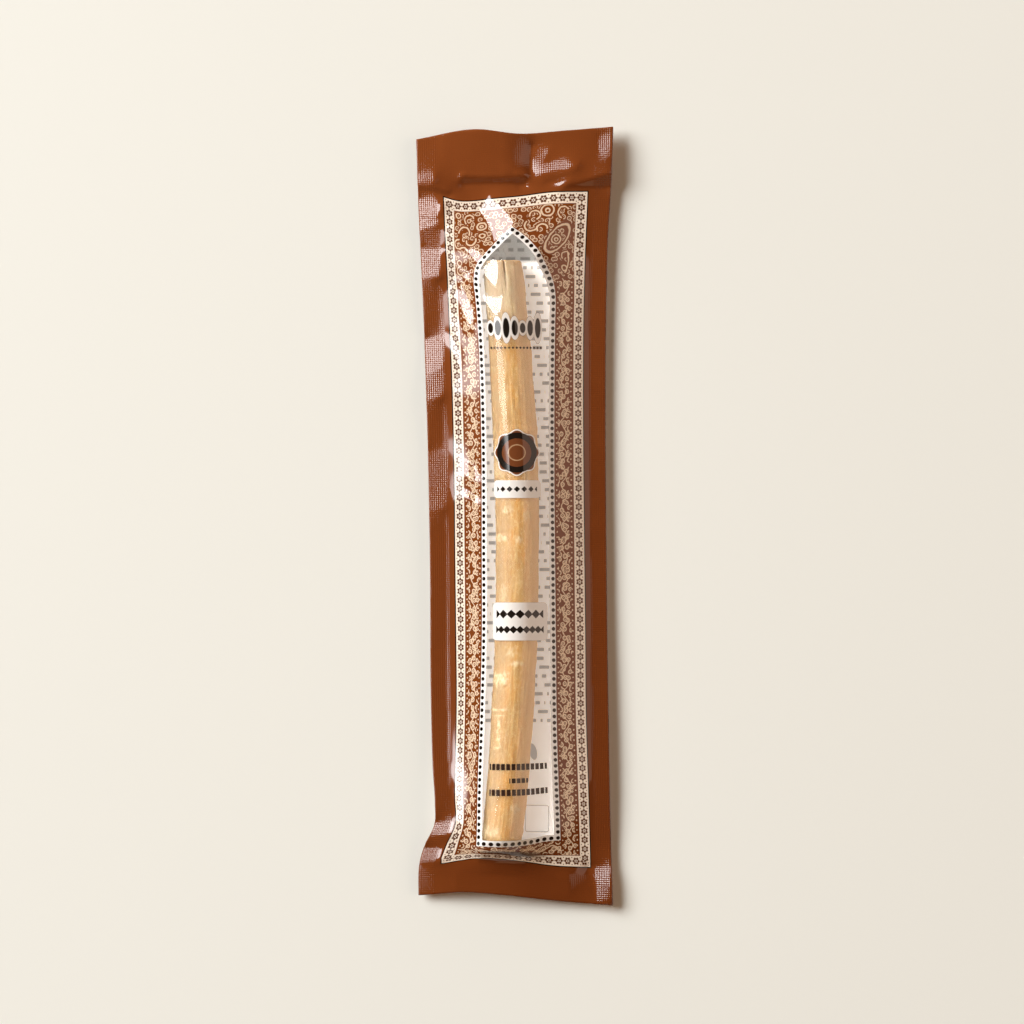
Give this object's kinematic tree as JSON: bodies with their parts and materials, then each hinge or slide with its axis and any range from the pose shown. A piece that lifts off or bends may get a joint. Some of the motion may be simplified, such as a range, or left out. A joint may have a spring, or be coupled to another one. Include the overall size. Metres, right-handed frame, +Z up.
{
  "type": "miswak stick in a sachet",
  "caption": "Miswak tooth-cleaning stick sealed in a flat ornamented film sachet with a clear arched window, lying on its back film.",
  "frame": {"origin": "middle of the sachet's footprint, on the surface that it lies on", "axes": "+Y along the sachet and the stick towards the pointed end of the window, +X across to the right, +Z up out of the front film"},
  "size_m": [0.051, 0.2014, 0.0125],
  "materials": {
    "root_wood": "peeled, matt",
    "printed_film": "glossy printed film with a clear window",
    "back_film": "satin printed film"
  },
  "bodies": {
    "root": {"miswak_stick": "root_wood", "front_film": "printed_film", "back_film": "back_film"}
  },
  "joints": []
}
